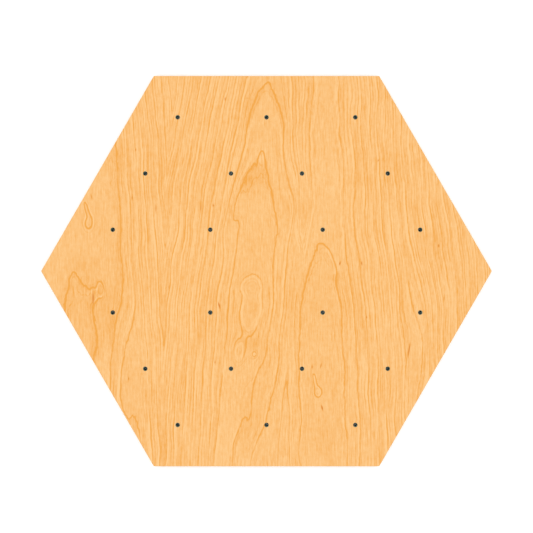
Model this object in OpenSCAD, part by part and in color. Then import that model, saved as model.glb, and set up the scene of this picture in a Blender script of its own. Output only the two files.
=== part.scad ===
// Hexagonal plywood game board with a tee nut pressed into every peg hole.
// Nine sheets of wood are glued face to face, and the board lies on the back one. The origin is
// the middle of the back face, two corners point along X and the grain of the face runs along Y.

/* [Board] */
// Width of the hexagon between two parallel edges
across_flats = 660; // [600:10:900]
// Thickness of the finished panel
board_t = 12; // [12:0.5:18]
// Thickness of the face veneer and of the back veneer
veneer_t = 1.3; // [1.3:0.1:1.6]

/* [Peg holes] */
// Distance from the edge of the board to the outer ring of holes
edge_inset = 70; // [50:1:90]
// Distance from the middle line to the first row of holes
first_row_y = 70; // [50:1:90]
// Half distance between the two inner holes of a first row
first_row_x = 95; // [80:1:120]
// Half distance between the two inner holes of a second row
second_row_x = 60; // [40:1:100]

/* [Tee nuts] */
// Diameter of the threaded bore
bore_d = 5; // [4.2:0.1:5.4]
// Outer diameter of the barrel
barrel_d = 7.5; // [7:0.1:8.5]
// Diameter of the flange
flange_d = 19; // [17:0.5:22]
// Thickness of the stamped steel
steel_t = 1.2; // [1:0.1:1.2]
// Height of the prongs above the flange
prong_h = 6; // [4:0.5:7]
// Width of a prong where it leaves the flange
prong_w = 4.8; // [3:0.1:5.5]
// Depth of the barrel's end below the face of the board
barrel_sink = 0.5; // [0.3:0.1:2]

/* [Hidden] */
core_count = 7;
nut_count = 22; // one for each of HOLES
CORE_NODES = [for (i = [1:core_count]) str("core_ply_", i)];
NUT_NODES = [for (i = [1:nut_count]) str("tee_nut_", i < 10 ? "0" : "", i)];

$fn = 48;
hair = 0.1; // how far the cutters run past the faces that they cut

// Hexagon
apothem = across_flats / 2;
corner_r = apothem / cos(30);

// Plies
core_t = (board_t - 2 * veneer_t) / core_count;

// Peg holes: three rows above the middle line and three below it
outer_row_y = apothem - edge_inset;
second_row_y = (first_row_y + outer_row_y) / 2;
// Where a row meets the outer ring, which runs parallel to the slanted edges
function ring_x(y) = (outer_row_y - y / 2) / cos(30);
QUARTER = [
    [first_row_x, first_row_y],
    [second_row_x, second_row_y],
    [ring_x(first_row_y), first_row_y],
    [ring_x(second_row_y), second_row_y],
    [ring_x(outer_row_y), outer_row_y]
];
HOLES = concat(
    [for (p = QUARTER, side_x = [-1, 1], side_y = [-1, 1]) [side_x * p[0], side_y * p[1]]],
    [for (side_y = [-1, 1]) [0, side_y * outer_row_y]]
);

// Tee nuts
turn_step = 37; // nuts are pressed in at any angle, so each is turned this much past the one before
function nut_turn(index) = (index * turn_step) % 90;
fit_gap = 0.05; // gap all round between steel and wood
nut_z = veneer_t - steel_t; // underside of the flange, just inside the back face
barrel_top = board_t - barrel_sink;
flange_flat = 0.92 * flange_d / 2; // middle of the nut to the flats that the prongs rise from
prong_shoulder = 0.4 * prong_h; // height at which a prong starts to narrow
lead_in = 0.5; // depth of the chamfer at the flange end of the bore
lead_in_top = 1.4; // depth of the steeper chamfer at the mouth that faces the player
mouth_wall = 0.2; // wall left at the rim of that mouth

WOOD_FACE = [0.97, 0.76, 0.47];
WOOD_LIGHT = [0.88, 0.72, 0.50];
WOOD_DARK = [0.76, 0.56, 0.34];
STEEL = [0.36, 0.42, 0.40];

// Width of a prong at a height above the flange
function prong_width(h) =
    h < prong_shoulder ? prong_w : prong_w * max(0, prong_h - h) / (prong_h - prong_shoulder);

module hexagon() {
    circle(r = corner_r, $fn = 6);
}

// One sheet of wood from z0 to z1, with a hole of the given radius at every peg hole
module sheet(z0, z1, hole_r) {
    slot_w = prong_width(z0 - veneer_t);
    translate([0, 0, z0])
        linear_extrude(z1 - z0)
            difference() {
                hexagon();
                for (i = [0:nut_count - 1])
                    translate(HOLES[i])
                        rotate(nut_turn(i)) {
                            circle(r = hole_r);
                            if (hole_r < flange_flat && slot_w > 0)
                                prong_slots(slot_w);
                        }
            }
}

// Four slots that hold the prongs of a tee nut
module prong_slots(slot_w) {
    for (turn = [0:90:270])
        rotate(turn)
            translate([flange_flat - steel_t / 2, 0])
                square([steel_t + 2 * fit_gap, slot_w + 2 * fit_gap], center = true);
}

// The plies cross: the even ones show dark end grain on two sides, the odd ones long grain
module core_ply(index) {
    z0 = veneer_t + index * core_t;
    color(index % 2 == 0 ? WOOD_DARK : WOOD_LIGHT)
        sheet(z0, z0 + core_t, barrel_d / 2 + fit_gap);
}

module face_veneer() {
    color(WOOD_FACE)
        sheet(board_t - veneer_t, board_t, barrel_d / 2 + fit_gap);
}

// The holes in the back veneer are wide enough for the flanges
module back_veneer() {
    color(WOOD_LIGHT)
        sheet(0, veneer_t, flange_d / 2 + fit_gap);
}

// One prong, standing on the flange with its flat side facing the barrel
module prong() {
    outline = [
        [-prong_w / 2, 0],
        [prong_w / 2, 0],
        [prong_w / 2, steel_t + prong_shoulder],
        [0, steel_t + prong_h],
        [-prong_w / 2, steel_t + prong_shoulder]
    ];
    translate([flange_flat - steel_t, 0, 0])
        rotate([90, 0, 90])
            linear_extrude(steel_t)
                polygon(outline);
}

module flange() {
    linear_extrude(steel_t)
        intersection() {
            circle(d = flange_d);
            square(2 * flange_flat, center = true);
        }
}

// A stamped tee nut, flange down, with its bore on the Z axis
module tee_nut_body() {
    height = barrel_top - nut_z;
    bore_r = bore_d / 2;
    mouth_r = barrel_d / 2 - mouth_wall;
    difference() {
        union() {
            flange();
            cylinder(d = barrel_d, h = height);
            for (turn = [0:90:270])
                rotate(turn)
                    prong();
        }
        translate([0, 0, -hair])
            cylinder(r = bore_r, h = height + 2 * hair);
        translate([0, 0, -hair])
            cylinder(r1 = bore_r + lead_in + hair, r2 = bore_r, h = lead_in + hair);
        translate([0, 0, height - lead_in_top])
            cylinder(r1 = bore_r, r2 = mouth_r, h = lead_in_top);
    }
}

module tee_nut(index) {
    color(STEEL)
        translate([HOLES[index][0], HOLES[index][1], nut_z])
            rotate(nut_turn(index))
                tee_nut_body();
}

back_veneer();
for (i = [0:core_count - 1])
    core_ply(i);
face_veneer();
for (i = [0:nut_count - 1])
    tee_nut(i);
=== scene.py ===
"""The looks of a hexagonal plywood game board with a tee nut in every peg hole."""

import math

import bmesh
import bpy
from mathutils import Matrix, Vector


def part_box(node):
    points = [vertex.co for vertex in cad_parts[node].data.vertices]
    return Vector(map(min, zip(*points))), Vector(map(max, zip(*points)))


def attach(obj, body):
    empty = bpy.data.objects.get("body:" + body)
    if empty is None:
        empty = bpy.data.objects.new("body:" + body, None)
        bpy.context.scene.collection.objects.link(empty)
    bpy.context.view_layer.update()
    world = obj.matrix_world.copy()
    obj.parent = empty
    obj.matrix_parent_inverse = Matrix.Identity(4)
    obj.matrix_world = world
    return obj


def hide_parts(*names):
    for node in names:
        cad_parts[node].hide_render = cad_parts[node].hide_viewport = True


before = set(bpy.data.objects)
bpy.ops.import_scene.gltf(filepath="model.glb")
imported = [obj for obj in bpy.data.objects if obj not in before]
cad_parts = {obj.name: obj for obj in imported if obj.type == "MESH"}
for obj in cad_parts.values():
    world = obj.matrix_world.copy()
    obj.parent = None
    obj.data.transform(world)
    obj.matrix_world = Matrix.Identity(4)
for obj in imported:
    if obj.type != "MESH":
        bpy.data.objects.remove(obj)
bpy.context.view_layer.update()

MM = 0.001


# ---------------------------------------------------------------------------
# The board's sizes, read from the frame
# ---------------------------------------------------------------------------

CORE_PLIES = [f"core_ply_{i}" for i in range(1, 8)]
NUTS = sorted(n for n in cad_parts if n.startswith("tee_nut"))

_, board_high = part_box("face_veneer")
APOTHEM = board_high.y
BOARD_TOP = board_high.z


def nut_place(node):
    low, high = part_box(node)
    return (low + high) / 2


PEG_HOLES = [nut_place(n).xy for n in NUTS]
TURN_STEP = 37  # degrees that each nut stands round from the one before
QUARTER_TURN = 90  # after which a nut looks the same again
NUT_TURNS = [math.radians(i * TURN_STEP % QUARTER_TURN) for i in range(len(NUTS))]

# ---------------------------------------------------------------------------
# The tee nut's sizes, in mm, with heights from the underside of its flange
# ---------------------------------------------------------------------------

nut_low, nut_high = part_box(NUTS[0])
NUT_TOP = (nut_high.z - nut_low.z) / MM
FLANGE_FLAT = (nut_high.x - nut_low.x) / MM / 2  # from the middle to the flats
FLANGE_R = 9.5
STEEL_T = 1.2
BARREL_R = 3.75
BORE_R = 2.5
PITCH = 1.0
THREAD_DEPTH = 0.45
THREAD_LOW = 0.9  # heights at which the thread runs out
THREAD_HIGH = NUT_TOP - 1.4
PRONG_WIDTH = 4.8
PRONG_SHOULDER = 3.6  # height at which a prong starts to narrow
PRONG_TIP = 7.2
PRONG_BEND_R = 0.9
NOTCH = 0.45  # how much wider than the prong the flange's cut-back is, on each side
NOTCH_EASE = 0.13  # cut off the corners at the foot of the cut-back
RELIEF_WIDTH = PRONG_WIDTH / 2 + NOTCH  # half width of the cut-back
RELIEF_R = FLANGE_FLAT - 1.5  # from the middle to its foot
FIT_GAP = 0.05  # all round between steel and wood

# ---------------------------------------------------------------------------
# Node maths: a Value is a number that a material works out at each point
# ---------------------------------------------------------------------------


class Value:
    """Python's own operators on Values add Math nodes to the material."""

    def __init__(self, tree, socket):
        self.tree = tree
        self.socket = socket

    def math(self, operation, *others):
        node = self.tree.nodes.new("ShaderNodeMath")
        node.operation = operation
        for place, term in enumerate((self, *others)):
            if isinstance(term, Value):
                self.tree.links.new(term.socket, node.inputs[place])
            else:
                node.inputs[place].default_value = term
        return Value(self.tree, node.outputs[0])

    def __add__(self, other):
        return self.math("ADD", other)

    def __sub__(self, other):
        return self.math("SUBTRACT", other)

    def __mul__(self, other):
        return self.math("MULTIPLY", other)

    def __truediv__(self, other):
        return self.math("DIVIDE", other)

    def __pow__(self, other):
        return self.math("POWER", other)

    def __neg__(self):
        return self.math("MULTIPLY", -1.0)

    def sqrt(self):
        return self.math("SQRT")

    def abs(self):
        return self.math("ABSOLUTE")

    def exp(self):
        return self.math("EXPONENT")

    def floor(self):
        return self.math("FLOOR")

    def min(self, other):
        return self.math("MINIMUM", other)

    def max(self, other):
        return self.math("MAXIMUM", other)

    def smooth_max(self, other, softness):
        return self.math("SMOOTH_MAX", other, softness)

    def step(self, low, high):
        """Rises smoothly from 0 at low to 1 at high, or falls if high is below low."""
        node = self.tree.nodes.new("ShaderNodeMapRange")
        node.interpolation_type = "SMOOTHSTEP"
        node.inputs["From Min"].default_value = low
        node.inputs["From Max"].default_value = high
        self.tree.links.new(self.socket, node.inputs["Value"])
        return Value(self.tree, node.outputs["Result"])

    def clamped(self):
        """Kept between 0 and 1."""
        return self.max(0.0).min(1.0)


class Graph:
    """Makes nodes in a node tree."""

    def __init__(self, tree):
        self.tree = tree

    def vector(self, x, y, z):
        node = self.tree.nodes.new("ShaderNodeCombineXYZ")
        for place, term in enumerate((x, y, z)):
            if isinstance(term, Value):
                self.tree.links.new(term.socket, node.inputs[place])
            else:
                node.inputs[place].default_value = term
        return node.outputs[0]

    def noise(self, x, y, z, detail=2.0, roughness=0.5):
        """Noise from about -1 to 1, with its features about one unit of x, y and z apart."""
        node = self.tree.nodes.new("ShaderNodeTexNoise")
        node.noise_dimensions = "3D"
        node.inputs["Scale"].default_value = 1.0
        node.inputs["Detail"].default_value = detail
        node.inputs["Roughness"].default_value = roughness
        self.tree.links.new(self.vector(x, y, z), node.inputs["Vector"])
        return Value(self.tree, node.outputs[0]) * 2.0 - 1.0

    def mix(self, amount, colour_a, colour_b):
        node = self.tree.nodes.new("ShaderNodeMix")
        node.data_type = "RGBA"
        node.clamp_factor = True
        self.tree.links.new(amount.socket, node.inputs["Factor"])
        for place, colour in (("A", colour_a), ("B", colour_b)):
            socket = next(s for s in node.inputs if s.name == place and s.type == "RGBA")
            if isinstance(colour, bpy.types.NodeSocket):
                self.tree.links.new(colour, socket)
            else:
                socket.default_value = (*colour, 1.0)
        return next(s for s in node.outputs if s.type == "RGBA")

    def call(self, group, *terms):
        """The number that a node group works out from these Values."""
        node = self.tree.nodes.new("ShaderNodeGroup")
        node.node_tree = group
        for socket, term in zip(node.inputs, terms):
            self.tree.links.new(term.socket, socket)
        return Value(self.tree, node.outputs[0])


class Material(Graph):
    """A principled material and the node maths that feeds it, with x, y and z in mm."""

    def __init__(self, name):
        self.data = bpy.data.materials.new(name)
        self.data.use_nodes = True
        super().__init__(self.data.node_tree)
        self.shader = self.tree.nodes["Principled BSDF"]
        coords = self.tree.nodes.new("ShaderNodeTexCoord")
        split = self.tree.nodes.new("ShaderNodeSeparateXYZ")
        self.tree.links.new(coords.outputs["Object"], split.inputs[0])
        self.x, self.y, self.z = (Value(self.tree, s) / MM for s in split.outputs)

    def normal(self):
        """The three parts of the surface's own normal."""
        geometry = self.tree.nodes.new("ShaderNodeNewGeometry")
        split = self.tree.nodes.new("ShaderNodeSeparateXYZ")
        self.tree.links.new(geometry.outputs["True Normal"], split.inputs[0])
        return [Value(self.tree, s) for s in split.outputs]

    def feed(self, name, source):
        socket = source.socket if isinstance(source, Value) else source
        self.tree.links.new(socket, self.shader.inputs[name])

    def bump(self, height, distance):
        node = self.tree.nodes.new("ShaderNodeBump")
        node.inputs["Strength"].default_value = 1.0
        node.inputs["Distance"].default_value = distance
        self.tree.links.new(height.socket, node.inputs["Height"])
        self.tree.links.new(node.outputs[0], self.shader.inputs["Normal"])

    def set(self, **values):
        """Constants on the shader's own sockets, such as Specular_IOR_Level=0.3."""
        for name, value in values.items():
            self.shader.inputs[name.replace("_", " ")].default_value = value


def srgb(red, green, blue):
    """A screen colour, 0 to 255, as linear light."""
    def channel(value):
        value /= 255
        return value / 12.92 if value <= 0.04045 else ((value + 0.055) / 1.055) ** 2.4
    return tuple(channel(v) for v in (red, green, blue))


# ---------------------------------------------------------------------------
# Colours
# ---------------------------------------------------------------------------

FACE_PALE = srgb(227, 181, 121)
FACE_DARK = srgb(217, 149, 59)
BACK_PALE = srgb(236, 206, 160)
BACK_DARK = srgb(196, 152, 96)
FLECK_BROWN = srgb(186, 96, 28)
EDGE_STAIN_AND_SHADE = srgb(150, 122, 80)  # end grain soaks up more of the finish, and painted shade darkens the rounded arrises and sides
CORE_PALE = srgb(230, 198, 152)
CORE_DARK = srgb(128, 86, 47)
STEEL_PALE = srgb(156, 177, 169)
STEEL_DARK = srgb(82, 110, 101)

# ---------------------------------------------------------------------------
# Veneers
# ---------------------------------------------------------------------------

# A veneer is peeled off a log, and its lines are where the knife crossed the growth rings.
# The map of ring numbers is a few long hills, where the knife ran level with the rings,
# and small bumps on them. All sizes are in mm, heights in rings.
RING_RUN = 12.5  # from ring to ring down the side of a hill
SHOULDER_SOFTNESS = 10.0
DRIFT = (7.0, 2.0)  # how far the lines wander, across and along the grain
# (middle x, middle y, lean, top, half width of the level top, crown, run up, run down, power):
# the crown is how broad the round top is, the runs are the way to the first ring up and down the
# grain, and the power is how much steeper the hill gets after that
FACE_HILLS = [
    (-28, -70, 0.08, 0.0, 0, 50, 256, 420, 1.67),
    (95, -230, -0.02, -1.20, 0, 72, 290, 800, 2.5),
    (-308, -130, -0.05, -3.6, 64, 15, 900, 900, 1.35),
    (102, 160, -0.02, -2.3, 0, 40, 420, 900, 1.35),
]
# (middle x, middle y, half width, half length, lean, height)
FACE_BUMPS = [
    (-25, -190, 30, 44, 0.05, -0.5),
    (-27, -58, 34, 72, 0.0, -0.40),
    (-26, -24, 21, 18, 0.0, 0.9),
    (-26, -70, 21, 34, 0.1, 1.15),
    (40, 95, 18, 50, 0.1, 0.9),
    (64, 80, 9, 60, 0.0, -1.1),
    (-54, 102, 12, 44, 0.3, 0.7),
    (-38, 160, 9, 20, 0.5, 0.25),
    (-9, 190, 4, 12, 0.0, 0.3),
    (-20, -340, 34, 110, 0.05, -1.3),
    (-300, 81, 7, 12, 0.0, -0.8),
    (-305, 104, 3.5, 14, -0.34, -0.6),
    (86, -204, 6, 9, 0.0, 0.75),
    (82, -184, 3, 14, -0.2, 0.55),
    (-316, -105, 40, 140, 0.0, 1.05),
    (-327, -16, 7, 14, 0.0, 0.22),
    (-280, -30, 5, 14, -0.2, 0.75),
    (-288, -40, 8, 12, 0.0, 0.45),
    (-299, -17, 6, 9, 0.0, -0.25),
    (-238, -190, 22, 115, 0.0, -1.6),
    (266, -120, 22, 110, 0.0, 1.2),
    (-80, -340, 10, 110, 0.04, 0.8),
    (-48, -350, 9, 130, 0.04, -0.7),
    (14, -320, 11, 90, 0.05, 0.9),
    (34, -350, 9, 110, 0.0, -0.7),
    (-50, -136, 13, 24, 0.0, 0.75),
    (-21, -141, 5, 6, 0.0, 0.7),
    (104, 18, 8, 22, -0.5, 0.45),
]
# Pin marks and short brown dashes, and faint dusky patches: the same columns as the bumps
FACE_FLECKS = [
    (94, -231, 1.4, 5.0, -0.2, 1.1),
    (-80, -58, 1.4, 6.0, -0.25, 1.1),
    (124, 13, 1.3, 3.5, 0.2, 1.0),
    (161, 13, 1.2, 4.0, -0.1, 0.9),
    (291, 43, 1.3, 3.0, 0.0, 0.9),
    (241, -133, 1.1, 13.0, 0.15, 1.0),
    (-70, 291, 1.2, 3.5, 0.0, 0.9),
    (-221, 205, 1.2, 2.5, 0.0, 0.8),
    (189, 187, 1.2, 2.5, 0.1, 0.8),
    (77, -162, 1.2, 3.0, 0.0, 0.8),
    (92, -160, 1.3, 5.0, 0.3, 0.7),
    (-87, -154, 1.2, 3.0, 0.0, 0.8),
    (-90, 111, 1.4, 3.0, 0.0, 0.8),
    (169, -78, 1.4, 2.5, 0.0, 0.8),
    (-187, 106, 1.6, 9.0, 0.0, 0.6),
    (-111, 107, 1.5, 9.0, 0.0, 0.6),
    (-227, 124, 1.2, 4.0, 0.0, 0.7),
    (-233, -182, 1.2, 3.0, 0.0, 0.7),
    (-165, -27, 1.2, 4.0, 0.0, 0.6),
    (-293, -46, 1.6, 11.0, 0.0, 0.8),
    (300, -46, 2.0, 6.0, 0.1, 0.5),
    (-296, 126, 1.3, 5.0, -0.2, 0.6),
    (-32, 292, 3.0, 1.4, 0.0, 0.35),
    (-20, 155, 18.0, 11.0, 0.0, 0.25),
    (-20, -121, 12.0, 9.0, 0.0, 0.30),
    (-285, -20, 50.0, 100.0, 0.0, 0.12),
]
# Where the late wood lines are boldest, and below zero where they fade: the same columns again
FACE_BOLD = [
    (-300, -70, 60, 90, 0.0, 0.7),
    (-5, 270, 50, 90, 0.0, 0.4),
    (-25, 160, 45, 50, 0.0, 0.5),
    (92, 0, 60, 60, 0.0, 0.5),
    (-25, -100, 40, 60, 0.0, 0.6),
    (84, -190, 20, 40, 0.0, 0.7),
    (-300, 90, 20, 40, 0.0, 0.7),
    (-4, -88, 12, 30, 0.0, -1.0),
    (-50, -166, 22, 20, 0.0, -1.2),
    (61, 45, 14, 26, 0.0, -1.2),
    (-273, -42, 6, 10, 0.0, -1.2),
]
BACK_HILLS = [
    (70, 40, -0.05, 0.30, 0, 60, 330, 520, 1.35),
    (-160, -120, 0.04, -1.30, 0, 55, 300, 420, 1.6),
    (290, 60, 0.03, -4.2, 30, 25, 800, 700, 1.35),
]
BACK_BUMPS = [
    (110, -60, 20, 60, 0.1, 0.7),
    (-120, 60, 18, 50, 0.0, -0.8),
    (-200, -180, 10, 16, 0.0, -0.8),
    (40, 150, 22, 40, 0.2, 0.6),
]
BACK_FLECKS = [
    (-40, 210, 1.2, 6.0, 0.0, 0.5),
    (150, 130, 1.0, 8.0, 0.1, 0.6),
    (-230, 20, 1.3, 4.0, 0.0, 0.5),
    (30, -220, 1.1, 7.0, -0.1, 0.5),
    (-90, -30, 14.0, 10.0, 0.0, 0.2),
]
BACK_BOLD = [
    (70, 250, 60, 120, 0.0, 0.6),
    (-160, 60, 60, 120, 0.0, 0.5),
]

HILL_BLEND = 0.5  # softness of the valleys between hills, in rings
WAVER = 0.15  # height of the rings' slow unevenness
RAGGED = 0.05  # and of their quick one
NUDGE = 0.5  # mm between the places that the slope is worked out from
LEAST_SLOPE = 0.002  # in rings per mm
STEEP = (0.15, 0.7)  # rings in a RING_RUN, from where wood looks level to where it looks steep
BOLD_WIDTH = 1.2  # of each kind of line, in mm
ECHO_WIDTH = 1.0
GLOW_WIDTH = 2.2
FINE_WIDTH = 0.8
ECHO_RING = 0.13  # part of a ring that the thin second line lies inside a bold one
ECHO_SLOPE = (0.004, 0.012)  # on flatter wood the second line fades out
GLOW_RING = 0.14  # part of a ring that the pale band lies inside a line
DUSK_REACH = 4.5  # mm over which the wood darkens towards a bold line
FINE_LINES = 3.0  # in each ring on steep wood
UNEVEN = (-0.4, 0.5)  # noise at which a line is faint, and at which it is full
GROUND_SHADE = 0.33  # of the wood between its lines
VENEER_RELIEF = 0.02 * MM
FACES_ALONG = (0.55, 0.85)  # how squarely a face looks along the grain to show end grain


def blot(x, y, mid_x, mid_y, half_width, half_length, lean, amount):
    """A soft round spot of the given amount."""
    v = y - mid_y
    u = (x - mid_x - v * lean) / half_width
    v = v / half_length
    return (-(u * u + v * v)).exp() * amount


def with_blots(number, x, y, spots):
    for spot in spots:
        number = number + blot(x, y, *spot)
    return number


def near_whole(number, slope, width):
    """1 on a line where number is whole, and 0 beyond about width mm from it."""
    away = (number - (number + 0.5).floor()).abs() / slope / width
    return (-(away * away)).exp()


def ring_map(name, hills, bumps, seed):
    """A node group that gives the ring number at x, y. Whole numbers are the late wood lines."""
    tree = bpy.data.node_groups.new(name, "ShaderNodeTree")
    for axis in ("X", "Y"):
        tree.interface.new_socket(axis, in_out="INPUT", socket_type="NodeSocketFloat")
    tree.interface.new_socket("Ring", in_out="OUTPUT", socket_type="NodeSocketFloat")
    start = tree.nodes.new("NodeGroupInput")
    end = tree.nodes.new("NodeGroupOutput")
    x, y = (Value(tree, socket) for socket in start.outputs[:2])
    graph = Graph(tree)
    drift = graph.noise(x / 60, y / 90, seed + 3, detail=1.0)
    x, y = (term + drift * reach for term, reach in zip((x, y), DRIFT))
    waver = graph.noise(x / 20, y / 80, seed)
    ragged = graph.noise(x / 6, y / 12, seed + 13, detail=1.0)
    number = None
    for mid_x, mid_y, lean, top, level, crown, up, down, power in hills:
        v = y - mid_y
        u = x - mid_x - v * lean
        if level:
            u = u.abs() - level
            u = ((u * u + SHOULDER_SOFTNESS ** 2).sqrt() + u) * 0.5
        fall_side = ((u * u + crown ** 2).sqrt() - crown) / RING_RUN
        fall_along = (v / up).max(v / -down) ** power
        hill = -(fall_side + fall_along) + top
        number = hill if number is None else number.smooth_max(hill, HILL_BLEND)
    number = with_blots(number, x, y, bumps) + waver * WAVER + ragged * RAGGED
    tree.links.new(number.socket, end.inputs[0])
    return tree


def late_wood(material, ring, slope, steep, bold, seed):
    """The lines along the rings: the bold lines alone, and how much all of them darken the wood."""
    y = material.y
    unevenness = material.noise(ring * 0.8, y / 80, seed + 21).step(*UNEVEN)
    boldness = unevenness * 0.6 - steep * 0.45 + 0.5
    boldness = with_blots(boldness, material.x, y, bold).max(0.0)
    line = near_whole(ring, slope, BOLD_WIDTH) * boldness

    # Level wood: a thin second line inside each bold one, and a dusk that fades away from it
    inside = (ring - ring.floor()) / slope
    echo = near_whole(ring - ECHO_RING, slope, ECHO_WIDTH) * slope.step(*ECHO_SLOPE) * 0.35
    dusk = ((-(inside / DUSK_REACH)).exp() * 0.25 + echo) * (-steep + 1.0) * boldness

    # Steep wood: a pale band inside each line, and finer lines between them
    glow = near_whole(ring - GLOW_RING, slope, GLOW_WIDTH) * steep * unevenness
    fine = near_whole(ring * FINE_LINES, slope * FINE_LINES, FINE_WIDTH) * steep
    fine_unevenness = material.noise(ring * 2.4, y / 60, seed + 25).step(*UNEVEN)
    return line, line * 1.20 + dusk - glow * 0.60 + fine * fine_unevenness * 0.50


def wood_fibre(material, ring, steep, seed):
    """Streaks, fibres and pores: the height they give the wood, and how much they darken it."""
    x, y = material.x, material.y
    band = material.noise(ring * 2.2, y / 200, seed + 31, detail=3.0)
    streak = material.noise(ring * 6.5, y / 120, seed + 37, detail=3.0) * (steep * 0.8 + 0.2)
    fibre = material.noise(x / 1.3, y / 24, seed + 41)
    cloud = material.noise(x / 50, y / 70, seed + 43)
    mottle = material.noise(x / 5, y / 8, seed + 47, detail=3.0, roughness=0.6)
    pore = material.noise(x / 0.28, y / 3.5, seed + 53, detail=1.0).step(0.15, 0.6)
    darkening = (band * 0.28 + streak * 0.88 + fibre * 0.70 + cloud * 0.12
                 + mottle * 0.42 + pore * 0.35)
    return streak * 0.4 + fibre * 0.6, darkening


def peeled_veneer(name, hills, bumps, flecks, bold, seed, pale, dark):
    """A rotary-cut sheet: rings, fibres and flecks on its faces; stained end grain and painted
    shade on its edges and rounded arrises.
    """
    material = Material(name)
    x, y = material.x, material.y
    rings = ring_map(name + "_rings", hills, bumps, seed)
    ring = material.call(rings, x, y)
    rise_x = material.call(rings, x + NUDGE, y) - ring
    rise_y = material.call(rings, x, y + NUDGE) - ring
    slope = ((rise_x * rise_x + rise_y * rise_y).sqrt() / NUDGE).max(LEAST_SLOPE)
    steep = (slope * RING_RUN).step(*STEEP)

    line, late_shade = late_wood(material, ring, slope, steep, bold, seed)
    height, fibre_shade = wood_fibre(material, ring, steep, seed)
    fleck = with_blots(blot(x, y, *flecks[0]), x, y, flecks[1:])
    shade = late_shade + fibre_shade + fleck + GROUND_SHADE

    colour = material.mix(shade.clamped(), pale, dark)
    colour = material.mix((fleck - 0.3).clamped(), colour, FLECK_BROWN)
    # Partly painted shade, partly stain: every face that turns away from the top, the rounded
    # arrises too, is darkened by its tilt, and more where it shows end grain, which soaks up more
    # finish
    _, normal_y, normal_z = material.normal()
    end_grain = normal_y.abs().step(*FACES_ALONG) * 0.35 + 0.40
    edge = normal_z.abs().step(0.97, 0.4) * end_grain
    material.feed("Base Color", material.mix(edge, colour, EDGE_STAIN_AND_SHADE))
    material.feed("Roughness", shade * 0.10 + 0.42)
    material.bump(height - line * 0.6, VENEER_RELIEF)
    material.set(IOR=1.45, Specular_IOR_Level=0.35)
    return material.data


# ---------------------------------------------------------------------------
# Core plies and steel
# ---------------------------------------------------------------------------

GLUE_REACH = 0.07  # mm of stain on either side of a glue line
SAWN_RELIEF = 0.03 * MM
STEEL_RELIEF = 0.02 * MM


def core_wood(name, grain, low_z, high_z, seed):
    """Solid wood through and through: long fibres on two sides of a ply, pores on the others."""
    material = Material(name)
    x, y, z = material.x, material.y, material.z
    along, across = (x, y) if grain == "X" else (y, x)
    normal = material.normal()[0 if grain == "X" else 1]
    end_grain = normal.abs().step(*FACES_ALONG)

    streak = material.noise(along / 40, across / 1.3, z / 0.35 + seed, detail=3.0)
    fibre = material.noise(along / 12, across / 0.35, z / 0.18 + seed)
    pore = material.noise(along / 0.6, across / 0.22, z / 0.22 + seed, detail=1.0).step(0.25, 0.6)
    patch = material.noise(along / 35, across / 35, z / 3 + seed)
    saw = material.noise(x / 0.9, y / 0.9, z / 30 + seed)
    gap = material.noise(along / 16, across / 16, seed + 5.0, detail=1.0).step(0.66, 0.72)
    from_low, from_high = ((z - joint / MM) / GLUE_REACH for joint in (low_z, high_z))
    glue = (-(from_low * from_low)).exp().max((-(from_high * from_high)).exp())

    shade = (streak * 0.36 + fibre * 0.22 + patch * 0.18 + saw * 0.14
             + end_grain * (pore * 0.30 + 0.40) + glue * 0.75 + gap * 0.35 + 0.14)
    material.feed("Base Color", material.mix(shade.clamped(), CORE_PALE, CORE_DARK))
    material.feed("Roughness", end_grain * 0.12 + 0.62)
    material.bump(fibre * 0.5 + saw * 0.5 - pore * end_grain * 0.6, SAWN_RELIEF)
    material.set(IOR=1.45, Specular_IOR_Level=0.25)
    return material.data


def zinc_steel(name):
    """Dull zinc plating, with darker patches, fine tool marks and a little grime."""
    material = Material(name)
    x, y, z = material.x, material.y, material.z
    patch = material.noise(x / 3.5, y / 3.5, z / 3.5, detail=3.0)
    grain = material.noise(x / 0.5, y / 0.5, z / 0.5, detail=3.0, roughness=0.6)
    marks = material.noise(x / 0.25, y / 2.5, z / 0.25)
    shade = patch * 0.7 + grain * 0.35 + marks * 0.2 + 0.4
    material.feed("Base Color", material.mix(shade.clamped(), STEEL_PALE, STEEL_DARK))
    material.feed("Roughness", (patch * 0.25 + grain * 0.12 + 0.38).max(0.2))
    material.bump(grain * 0.6 + marks * 0.4, STEEL_RELIEF)
    material.set(Metallic=1.0)
    return material.data


# ---------------------------------------------------------------------------
# Sheets of wood
# ---------------------------------------------------------------------------

ARRIS = 0.5 * MM  # rounding on the board's own arrises
SAWN_EDGE = 0.04 * MM  # rounding on the arrises between plies
HOLE_EASE = 0.12 * MM
ARRIS_STEPS = 3
CORNER_ROUND = 2.5 * MM
SHARPEST_CORNER = 0.2 * MM
CORNER_STEPS = 5
HOLE_STEPS = 40
PEG_HOLE_R = (BARREL_R + FIT_GAP) * MM
FLANGE_HOLE_R = (FLANGE_R + FIT_GAP) * MM
PRONG_SLOT_REACH = ((FLANGE_FLAT - STEEL_T - FIT_GAP) * MM, (FLANGE_FLAT + FIT_GAP) * MM)
# How far each core ply's edge stands back from the board's edge after sanding
TRIMS = [0.03 * MM, 0.0, 0.04 * MM, 0.01 * MM, 0.03 * MM, 0.0, 0.02 * MM]


def spoke(angle):
    return Vector((math.cos(angle), math.sin(angle)))


def hexagon(inset):
    """The board's outline, that far inside its own edge, with slightly rounded corners."""
    apothem = APOTHEM - inset
    radius = max(CORNER_ROUND - inset, SHARPEST_CORNER)
    middle_r = (apothem - radius) / math.cos(math.pi / 6)
    points = []
    for corner in range(6):
        turn = corner * math.pi / 3
        middle = spoke(turn) * middle_r
        for step in range(CORNER_STEPS + 1):
            points.append(middle + spoke(turn + (step / CORNER_STEPS - 0.5) * math.pi / 3) * radius)
    return points


def hole_outline(middle, radius):
    return [middle + spoke(i * 2 * math.pi / HOLE_STEPS) * radius for i in range(HOLE_STEPS)]


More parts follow.
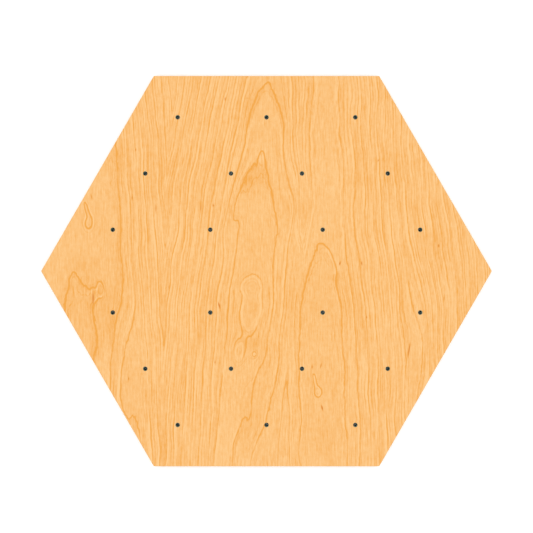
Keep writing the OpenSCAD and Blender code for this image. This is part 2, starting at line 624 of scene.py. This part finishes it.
def rim(z_low, z_high, ease_low, ease_high):
    """(inset, height) up the edge of a sheet, with its two arrises rounded over."""
    turns = [math.pi / 2 * i / ARRIS_STEPS for i in range(ARRIS_STEPS + 1)]
    rounding = [(1 - math.sin(a), 1 - math.cos(a)) for a in turns]
    profile = [(ease_low * inward, z_low + ease_low * up) for inward, up in rounding]
    profile += [(ease_high * inward, z_high - ease_high * down) for down, inward in rounding]
    return profile


def slot_width(height):
    """Width of a prong's slot in a ply whose underside is that many mm above the flange's."""
    taper = (PRONG_TIP - height) / (PRONG_TIP - PRONG_SHOULDER)
    if taper <= 0:
        return 0.0
    return round(PRONG_WIDTH * min(1.0, taper) + 2 * FIT_GAP, 2) * MM


def slot_outline(middle, turn, width):
    """The four corners of a slot for the prong that stands at that turn."""
    radial = spoke(turn)
    sideways = Vector((-radial.y, radial.x)) * width / 2
    near, far = (middle + radial * r for r in PRONG_SLOT_REACH)
    return [near - sideways, far - sideways, far + sideways, near + sideways]


def face_outward(made, up):
    """Turns the faces of a filled cap to look up, or down if up is -1."""
    for face in made["geom"]:
        if isinstance(face, bmesh.types.BMFace) and face.normal.z * up < 0:
            face.normal_flip()


def sheet_mesh(name, z_low, z_high, hole_r, ease_low, ease_high, slot=0.0, trim=0.0):
    """One ply: the hexagon with a hole at every peg, and real rounding on its arrises."""
    bm = bmesh.new()
    caps = ([], [])

    def wall(outline, profile, outside):
        loops = [[bm.verts.new((*point, height)) for point in outline(inset)]
                 for inset, height in profile]
        count = len(loops[0])
        for low, high in zip(loops, loops[1:]):
            for i in range(count):
                j = (i + 1) % count
                face = (low[i], low[j], high[j], high[i])
                bm.faces.new(face if outside else face[::-1])
        for cap, loop in zip(caps, (loops[0], loops[-1])):
            cap.extend(bm.edges.get((loop[i], loop[(i + 1) % count])) for i in range(count))

    wall(lambda inset: hexagon(inset + trim), rim(z_low, z_high, ease_low, ease_high), True)
    hole_rim = rim(z_low, z_high, min(ease_low, HOLE_EASE), min(ease_high, HOLE_EASE))
    for hole, turn in zip(PEG_HOLES, NUT_TURNS):
        wall(lambda inset: hole_outline(hole, hole_r + inset), hole_rim, False)
        for quarter in range(4 if slot else 0):
            slot_corners = slot_outline(hole, turn + quarter * math.pi / 2, slot)
            wall(lambda inset: slot_corners, [(0, z_low), (0, z_high)], False)
    for cap, up in zip(caps, (-1, 1)):
        face_outward(bmesh.ops.triangle_fill(bm, edges=cap, use_beauty=True, normal=(0, 0, up)), up)
    for face in bm.faces:
        face.smooth = True
    mesh = bpy.data.meshes.new(name)
    bm.to_mesh(mesh)
    bm.free()
    return mesh


# ---------------------------------------------------------------------------
# Tee nuts, in mm round their own axis
# ---------------------------------------------------------------------------

TURN_STEPS = 36
ROWS_A_PITCH = 6
FLANGE_ARC_STEPS = 7
BEND_STEPS = 6
PRONG_CORNER = 0.12  # cut off the prong's long corners
# (outward from the barrel, above the flange)
FILLET = [(0.65, 0.0), (0.30, 0.06), (0.09, 0.24), (0.0, 0.55), (0.0, 5.0)]
# (inward from the barrel, below its end)
LIP = [
    (0.0, 0.25), (0.02, 0.10), (0.09, 0.02), (0.16, 0.0), (0.23, 0.04), (0.72, 0.70), (1.21, 1.33),
]
# (outward from the bore, above the flange's underside)
LEAD_IN = [(0.03, 0.62), (0.12, 0.36), (0.28, 0.14), (0.50, 0.03), (0.80, 0.0)]
# (inward from the flange's edge, height)
FLANGE_RIM = [(0.22, 0.0), (0.08, 0.06), (0.0, 0.22), (0.0, STEEL_T - 0.06), (0.05, STEEL_T)]
# (height, width, thickness) up a prong, above its bend
PRONG_STATIONS = [
    (2.6, PRONG_WIDTH, STEEL_T),
    (PRONG_SHOULDER - 0.2, PRONG_WIDTH, STEEL_T),
    (PRONG_SHOULDER, PRONG_WIDTH - 0.08, STEEL_T),
    (PRONG_SHOULDER + 0.2, PRONG_WIDTH - 0.3, STEEL_T),
    (5.4, PRONG_WIDTH / 2, 1.1),
    (PRONG_TIP - 0.4, 0.66, 0.8),
    (PRONG_TIP - 0.08, 0.3, 0.5),
    (PRONG_TIP, 0.12, 0.25),
]


def bore_profile():
    """(radius, height, thread depth) from the flange's top, over the mouth, to its underside."""
    profile = [(BARREL_R + out, STEEL_T + up, 0) for out, up in FILLET]
    profile += [(BARREL_R - inward, NUT_TOP - down, 0) for inward, down in LIP]
    rows = round((THREAD_HIGH - THREAD_LOW) / PITCH * ROWS_A_PITCH)
    for row in range(rows + 1):
        height = THREAD_HIGH - (THREAD_HIGH - THREAD_LOW) * row / rows
        fade = min(1.0, (THREAD_HIGH - height) / PITCH, (height - THREAD_LOW) / PITCH)
        profile.append((BORE_R, height, THREAD_DEPTH * fade))
    return profile + [(BORE_R + out, up, 0) for out, up in LEAD_IN]


def thread(height, angle):
    """0 on the crest of the thread and 1 in its groove."""
    place = (height / PITCH - angle / (2 * math.pi)) % 1.0
    return min(1.0, max(0.0, 1.25 - abs(2 * place - 1) * 1.5))


def turned_ring(radius, height, depth):
    points = []
    for step in range(TURN_STEPS):
        angle = step * 2 * math.pi / TURN_STEPS
        r = radius + (depth * thread(height, angle) if depth else 0.0)
        points.append((r * math.cos(angle), r * math.sin(angle), height))
    return points


def flange_outline():
    """Round between the prongs, flat at them, and cut back where they bend up."""
    corner = math.sqrt(FLANGE_R ** 2 - FLANGE_FLAT ** 2)
    start = math.atan2(corner, FLANGE_FLAT)
    arc = [start + (math.pi / 2 - 2 * start) * i / FLANGE_ARC_STEPS
           for i in range(FLANGE_ARC_STEPS + 1)]
    notch = [(RELIEF_R, RELIEF_WIDTH - NOTCH), (RELIEF_R, RELIEF_WIDTH - NOTCH_EASE),
             (RELIEF_R + NOTCH_EASE, RELIEF_WIDTH), (FLANGE_FLAT, RELIEF_WIDTH)]
    quarter = [(RELIEF_R, NOTCH - RELIEF_WIDTH)] + notch
    quarter += [(FLANGE_R * math.cos(a), FLANGE_R * math.sin(a)) for a in arc]
    quarter += [(y, x) for x, y in reversed(notch[1:])]
    outline = []
    for turn in range(4):
        c, s = math.cos(turn * math.pi / 2), math.sin(turn * math.pi / 2)
        outline += [Vector((x * c - y * s, x * s + y * c)) for x, y in quarter]
    return outline


def prong_sections():
    """Eight-sided sections of the prong that points along X, from the flange to its tip."""
    # (distance from the axis, height, the way that the prong's outer side faces, width, thickness)
    stations = [(RELIEF_R - 0.2, STEEL_T / 2, Vector((0, -1)), PRONG_WIDTH, STEEL_T - 0.02)]
    middle = FLANGE_FLAT - STEEL_T / 2
    bend = Vector((middle - PRONG_BEND_R, STEEL_T / 2 + PRONG_BEND_R))
    for i in range(BEND_STEPS + 1):
        outward = spoke(-math.pi / 2 * (1 - i / BEND_STEPS))
        place = bend + outward * PRONG_BEND_R
        stations.append((place.x, place.y, outward, PRONG_WIDTH, STEEL_T))
    stations += [(middle, height, Vector((1, 0)), width, thickness)
                 for height, width, thickness in PRONG_STATIONS]
    sections = []
    for x, z, outward, width, thickness in stations:
        t, w = thickness / 2, width / 2
        cut = min(PRONG_CORNER, w * 0.4, t * 0.4)
        shape = [(t, -w + cut), (t, w - cut), (t - cut, w), (-t + cut, w),
                 (-t, w - cut), (-t, -w + cut), (-t + cut, -w), (t - cut, -w)]
        sections.append([(x + outward.x * out, side, z + outward.y * out) for out, side in shape])
    return sections


def tee_nut_shape():
    """The nut at its own origin, as a bmesh in metres: barrel and bore, flange, and four prongs."""
    bm = bmesh.new()

    def skin(rings):
        loops = [[bm.verts.new(point) for point in points] for points in rings]
        count = len(loops[0])
        for low, high in zip(loops, loops[1:]):
            for i in range(count):
                j = (i + 1) % count
                bm.faces.new((low[i], low[j], high[j], high[i]))
        return loops[0], loops[-1]

    def edges(loop):
        return [bm.edges.get((loop[i], loop[(i + 1) % len(loop)])) for i in range(len(loop))]

    top_ring, bottom_ring = skin([turned_ring(*row) for row in bore_profile()])
    outline = flange_outline()
    low_rim, high_rim = skin([
        [(*(point * (1 - inset / point.length)), height) for point in outline]
        for inset, height in FLANGE_RIM])
    for up, outer, inner in ((1, high_rim, top_ring), (-1, low_rim, bottom_ring)):
        face_outward(bmesh.ops.triangle_fill(
            bm, edges=edges(outer) + edges(inner), use_beauty=True, normal=(0, 0, up)), up)

    sections = prong_sections()
    for turn in range(4):
        spin = Matrix.Rotation(turn * math.pi / 2, 3, "Z")
        root, tip = skin([[spin @ Vector(p) for p in section] for section in sections])
        bm.faces.new(root[::-1])
        bm.faces.new(tip)
    for face in bm.faces:
        face.smooth = True
    bm.transform(Matrix.Scale(MM, 4))
    return bm


# ---------------------------------------------------------------------------
# The pieces
# ---------------------------------------------------------------------------


def add_piece(name, mesh, material, node, slot):
    piece = bpy.data.objects.new(name, mesh)
    bpy.context.scene.collection.objects.link(piece)
    mesh.materials.clear()
    mesh.materials.append(material)
    normals = piece.modifiers.new("flat_faces_stay_flat", "WEIGHTED_NORMAL")
    normals.weight = 100
    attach(piece, "root")
    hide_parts(node)


def add_veneer(name, node, hole_r, ease_low, ease_high, look):
    low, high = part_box(node)
    add_piece(name, sheet_mesh(name, low.z, high.z, hole_r, ease_low, ease_high), look, node, node)


face_look = peeled_veneer(
    "face_maple", FACE_HILLS, FACE_BUMPS, FACE_FLECKS, FACE_BOLD, 0.0, FACE_PALE, FACE_DARK)
add_veneer("face_sheet", "face_veneer", PEG_HOLE_R, SAWN_EDGE, ARRIS, face_look)

back_look = peeled_veneer(
    "back_birch", BACK_HILLS, BACK_BUMPS, BACK_FLECKS, BACK_BOLD, 60.0, BACK_PALE, BACK_DARK)
add_veneer("back_sheet", "back_veneer", FLANGE_HOLE_R, ARRIS, SAWN_EDGE, back_look)

for index, (node, trim) in enumerate(zip(CORE_PLIES, TRIMS)):
    low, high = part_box(node)
    grain = "X" if index % 2 == 0 else "Y"
    name = f"core_sheet_{index + 1}"
    mesh = sheet_mesh(name, low.z, high.z, PEG_HOLE_R, SAWN_EDGE, SAWN_EDGE,
                      slot_width((low.z - nut_low.z) / MM), trim)
    look = core_wood(f"core_{grain}_{index + 1}", grain, low.z, high.z, 11.0 * index)
    add_piece(name, mesh, look, node, "core_dark" if grain == "X" else "core_light")

nut_look = zinc_steel("zinc_plated_steel")
nut_shape = tee_nut_shape()
for node, hole, turn in zip(NUTS, PEG_HOLES, NUT_TURNS):
    name = node.replace("tee_nut", "pressed_nut")
    mesh = bpy.data.meshes.new(name)
    nut_shape.to_mesh(mesh)
    mesh.transform(Matrix.Translation((*hole, nut_low.z)) @ Matrix.Rotation(turn, 4, "Z"))
    add_piece(name, mesh, nut_look, node, "tee_nut")
nut_shape.free()


# ---------------------------------------------------------------------------
# Floor, light and camera
# ---------------------------------------------------------------------------

FLOOR_HALF = 6.0
FLOOR_DROP = 0.2 * MM  # keeps the floor clear of the board's back
FLOOR_WHITE = (0.97, 0.97, 0.97)
WORLD_STRENGTH = 0.92
# A ring of soft boxes round the camera: their light falls too far aslant to pass through the bores
LIGHT_COUNT = 4
LIGHT_RING_R = 1.5
LIGHT_HEIGHT = 2.4
LIGHT_SIZE = 1.0
LIGHT_POWER = 9.3
FACE_VIEW_WIDTH = 0.9008  # seen from edge to edge of the picture, at the height of the face
CAMERA_RISE = 1.5
CAMERA_Y = 0.0078
SENSOR_WIDTH = 36.0


def add_floor():
    mesh = bpy.data.meshes.new("floor")
    square = [(-1, -1), (1, -1), (1, 1), (-1, 1)]
    mesh.from_pydata([(x * FLOOR_HALF, y * FLOOR_HALF, 0) for x, y in square], [], [(0, 1, 2, 3)])
    white = bpy.data.materials.new("floor_white")
    white.use_nodes = True
    shader = white.node_tree.nodes["Principled BSDF"]
    shader.inputs["Base Color"].default_value = (*FLOOR_WHITE, 1.0)
    shader.inputs["Roughness"].default_value = 0.9
    mesh.materials.append(white)
    floor = bpy.data.objects.new("floor", mesh)
    floor.location.z = -FLOOR_DROP
    bpy.context.scene.collection.objects.link(floor)


def add_world():
    world = bpy.data.worlds.new("studio")
    bpy.context.scene.world = world
    world.use_nodes = True
    background = world.node_tree.nodes["Background"]
    background.inputs["Color"].default_value = (1, 1, 1, 1)
    background.inputs["Strength"].default_value = WORLD_STRENGTH


def add_soft_box(name, place):
    light = bpy.data.lights.new(name, "AREA")
    light.shape = "SQUARE"
    light.size = LIGHT_SIZE
    light.energy = LIGHT_POWER
    lamp = bpy.data.objects.new(name, light)
    lamp.location = place
    lamp.rotation_euler = (-Vector(place)).to_track_quat("-Z", "Y").to_euler()
    bpy.context.scene.collection.objects.link(lamp)


def add_camera():
    """Looks straight down at the face."""
    data = bpy.data.cameras.new("camera")
    data.sensor_width = SENSOR_WIDTH
    data.lens = SENSOR_WIDTH * CAMERA_RISE / FACE_VIEW_WIDTH
    camera = bpy.data.objects.new("camera", data)
    camera.location = (0.0, CAMERA_Y, BOARD_TOP + CAMERA_RISE)
    bpy.context.scene.collection.objects.link(camera)
    bpy.context.scene.camera = camera


add_floor()
add_world()
for index in range(LIGHT_COUNT):
    angle = (index + 0.5) * 2 * math.pi / LIGHT_COUNT
    place = (LIGHT_RING_R * math.cos(angle), LIGHT_RING_R * math.sin(angle), LIGHT_HEIGHT)
    add_soft_box(f"soft_box_{index + 1}", place)
add_camera()

bpy.context.scene.view_settings.view_transform = "Standard"
bpy.context.scene.view_settings.look = "None"
